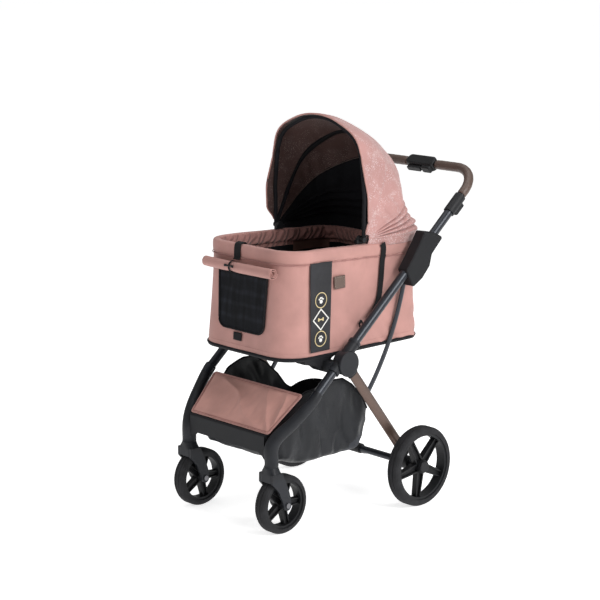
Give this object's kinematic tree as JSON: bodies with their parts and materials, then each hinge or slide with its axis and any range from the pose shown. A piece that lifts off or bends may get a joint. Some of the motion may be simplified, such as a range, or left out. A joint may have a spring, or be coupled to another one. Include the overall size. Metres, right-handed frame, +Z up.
{
  "type": "pet stroller",
  "caption": "Folding pet stroller: an open-topped fabric carrier with a hood on a two-beam frame, with a storage basket, swivel front wheels and a telescopic handle.",
  "frame": {"origin": "on the floor, at the middle of the overall length and width", "axes": "+Z up; -Y forward, the way the stroller is pushed; +X to the pusher's left"},
  "size_m": [0.614, 0.902, 1.2],
  "materials": {
    "slate_tube": "dark slate grey metallic powder coat, satin",
    "bronze_tube": "bronze brown metallic powder coat, satin",
    "black_plastic": "fine grained moulded black plastic",
    "charcoal_plastic": "fine grained moulded charcoal plastic",
    "tread": "matte foam rubber tyre",
    "steel": "zinc plated steel",
    "rose_fabric": "dusty rose coated woven polyester",
    "glitter_fabric": "dusty rose woven fabric with a fine silver marbled print",
    "black_fabric": "deep black woven polyester",
    "black_mesh": "black mesh",
    "brown_leather": "brown stitched synthetic leather"
  },
  "bodies": {
    "frame": {"front_tubes": "slate_tube", "push_tube_left": "slate_tube", "push_tube_right": "slate_tube", "front_leg_left": "charcoal_plastic", "front_leg_right": "charcoal_plastic", "hinge_bracket_left": "charcoal_plastic", "hinge_bracket_right": "charcoal_plastic", "hinge_covers": "charcoal_plastic", "hinge_pins": "steel", "carrier_saddles": "black_plastic", "tube_collars": "black_plastic", "front_crossbar": "black_plastic", "caster_pins": "steel", "basket": "black_fabric", "basket_panel": "rose_fabric"},
    "rear_frame": {"rear_leg_left": "bronze_tube", "rear_leg_right": "bronze_tube", "leg_yokes": "black_plastic", "leg_feet": "black_plastic", "rear_axle": "slate_tube", "axle_pins": "steel", "strut_pins": "steel"},
    "brake": {"brake_pedal": "black_plastic"},
    "handle": {"handlebar": "slate_tube", "grips": "brown_leather", "handle_centre": "black_plastic"},
    "trigger": {"fold_trigger": "black_plastic"},
    "carrier": {"carrier_tray": "black_plastic", "carrier_body": "rose_fabric", "carrier_rim": "rose_fabric", "carrier_cushion": "rose_fabric", "window_mesh": "black_mesh", "window_roll": "rose_fabric", "rim_buckle": "black_plastic", "hood_hinges": "black_plastic", "hood_rear": "glitter_fabric"},
    "hood_mid": {"hood_middle": "glitter_fabric", "hood_middle_hoop": "black_plastic"},
    "hood_visor": {"hood_front": "glitter_fabric", "hood_front_hoop": "black_plastic"},
    "button_left": {"height_button_left": "black_plastic"},
    "strut_arm_left": {"strut_left": "slate_tube"},
    "slider_left": {"slider_housing_left": "black_plastic"},
    "rear_wheel_left": {"rear_rim_left": "black_plastic", "rear_tyre_left": "tread", "hub_cap_left": "black_plastic"},
    "caster_left": {"front_fork_left": "charcoal_plastic", "front_bolt_left": "steel"},
    "front_wheel_left": {"front_rim_left": "black_plastic", "front_tyre_left": "tread"},
    "button_right": {"height_button_right": "black_plastic"},
    "strut_arm_right": {"strut_right": "slate_tube"},
    "slider_right": {"slider_housing_right": "black_plastic"},
    "rear_wheel_right": {"rear_rim_right": "black_plastic", "rear_tyre_right": "tread", "hub_cap_right": "black_plastic"},
    "caster_right": {"front_fork_right": "charcoal_plastic", "front_bolt_right": "steel"},
    "front_wheel_right": {"front_rim_right": "black_plastic", "front_tyre_right": "tread"}
  },
  "joints": [
    {"name": "rear_fold", "type": "hinge", "parent": "frame", "child": "rear_frame", "pos_m": [0, -0.1562, 0.49129], "axis": [-1, 0, 0], "range_deg": [0, 36]},
    {"name": "brake_press", "type": "hinge", "parent": "rear_frame", "child": "brake", "pos_m": [0, 0.12837, 0.125], "axis": [1, 0, 0], "range_deg": [0, 15]},
    {"name": "handle_height", "type": "slide", "parent": "frame", "child": "handle", "axis": [0, 0.7581, 0.6521], "range_m": [0, 0.08]},
    {"name": "fold_trigger_pull", "type": "slide", "parent": "handle", "child": "trigger", "axis": [0, 0.7581, 0.6521], "range_m": [0, 0.0035], "stiffness_N_per_m": 600, "springref_m": -0.003},
    {"name": "carrier_lift", "type": "slide", "parent": "frame", "child": "carrier", "axis": [0, 0, 1], "range_m": [0, 0.12]},
    {"name": "hood_fold", "type": "hinge", "parent": "carrier", "child": "hood_mid", "pos_m": [0, -0.03363, 0.84], "axis": [-1, 0, 0], "range_deg": [0, 28]},
    {"name": "hood_visor_fold", "type": "hinge", "parent": "hood_mid", "child": "hood_visor", "pos_m": [0, -0.03363, 0.84], "axis": [-1, 0, 0], "range_deg": [0, 22]},
    {"name": "height_button_press_left", "type": "slide", "parent": "frame", "child": "button_left", "axis": [0, -0.6521, 0.7581], "range_m": [0, 0.0025], "stiffness_N_per_m": 400, "springref_m": -0.002},
    {"name": "strut_turn_left", "type": "hinge", "parent": "rear_frame", "child": "strut_arm_left", "pos_m": [0.214, -0.04059, 0.36203], "axis": [1, 0, 0], "range_deg": [0, 31.48]},
    {"name": "slider_travel_left", "type": "slide", "parent": "frame", "child": "slider_left", "axis": [0, -0.7581, -0.6521], "range_m": [0, 0.091]},
    {"name": "rear_wheel_spin_left", "type": "hinge", "parent": "rear_frame", "child": "rear_wheel_left", "pos_m": [0.282, 0.12837, 0.125], "axis": [1, 0, 0], "continuous": true},
    {"name": "caster_swivel_left", "type": "hinge", "parent": "frame", "child": "caster_left", "pos_m": [0.187, -0.40163, 0.197], "axis": [0, 0, 1], "continuous": true},
    {"name": "front_wheel_spin_left", "type": "hinge", "parent": "caster_left", "child": "front_wheel_left", "pos_m": [0.187, -0.36313, 0.0895], "axis": [1, 0, 0], "continuous": true},
    {"name": "height_button_press_right", "type": "slide", "parent": "frame", "child": "button_right", "axis": [0, -0.6521, 0.7581], "range_m": [0, 0.0025], "stiffness_N_per_m": 400, "springref_m": -0.002},
    {"name": "strut_turn_right", "type": "hinge", "parent": "rear_frame", "child": "strut_arm_right", "pos_m": [-0.214, -0.04059, 0.36203], "axis": [1, 0, 0], "range_deg": [0, 31.48]},
    {"name": "slider_travel_right", "type": "slide", "parent": "frame", "child": "slider_right", "axis": [0, -0.7581, -0.6521], "range_m": [0, 0.091]},
    {"name": "rear_wheel_spin_right", "type": "hinge", "parent": "rear_frame", "child": "rear_wheel_right", "pos_m": [-0.282, 0.12837, 0.125], "axis": [1, 0, 0], "continuous": true},
    {"name": "caster_swivel_right", "type": "hinge", "parent": "frame", "child": "caster_right", "pos_m": [-0.187, -0.40163, 0.197], "axis": [0, 0, 1], "continuous": true},
    {"name": "front_wheel_spin_right", "type": "hinge", "parent": "caster_right", "child": "front_wheel_right", "pos_m": [-0.187, -0.36313, 0.0895], "axis": [1, 0, 0], "continuous": true}
  ],
  "couplings": [
    {"joint": "hood_visor_fold", "follows": "hood_fold", "ratio": 0.78},
    {"joint": "strut_turn_left", "follows": "rear_fold", "ratio": 0.86065},
    {"joint": "slider_travel_left", "follows": "rear_fold", "m_per_rad": 0.14403},
    {"joint": "strut_turn_right", "follows": "rear_fold", "ratio": 0.86065},
    {"joint": "slider_travel_right", "follows": "rear_fold", "m_per_rad": 0.14403}
  ]
}
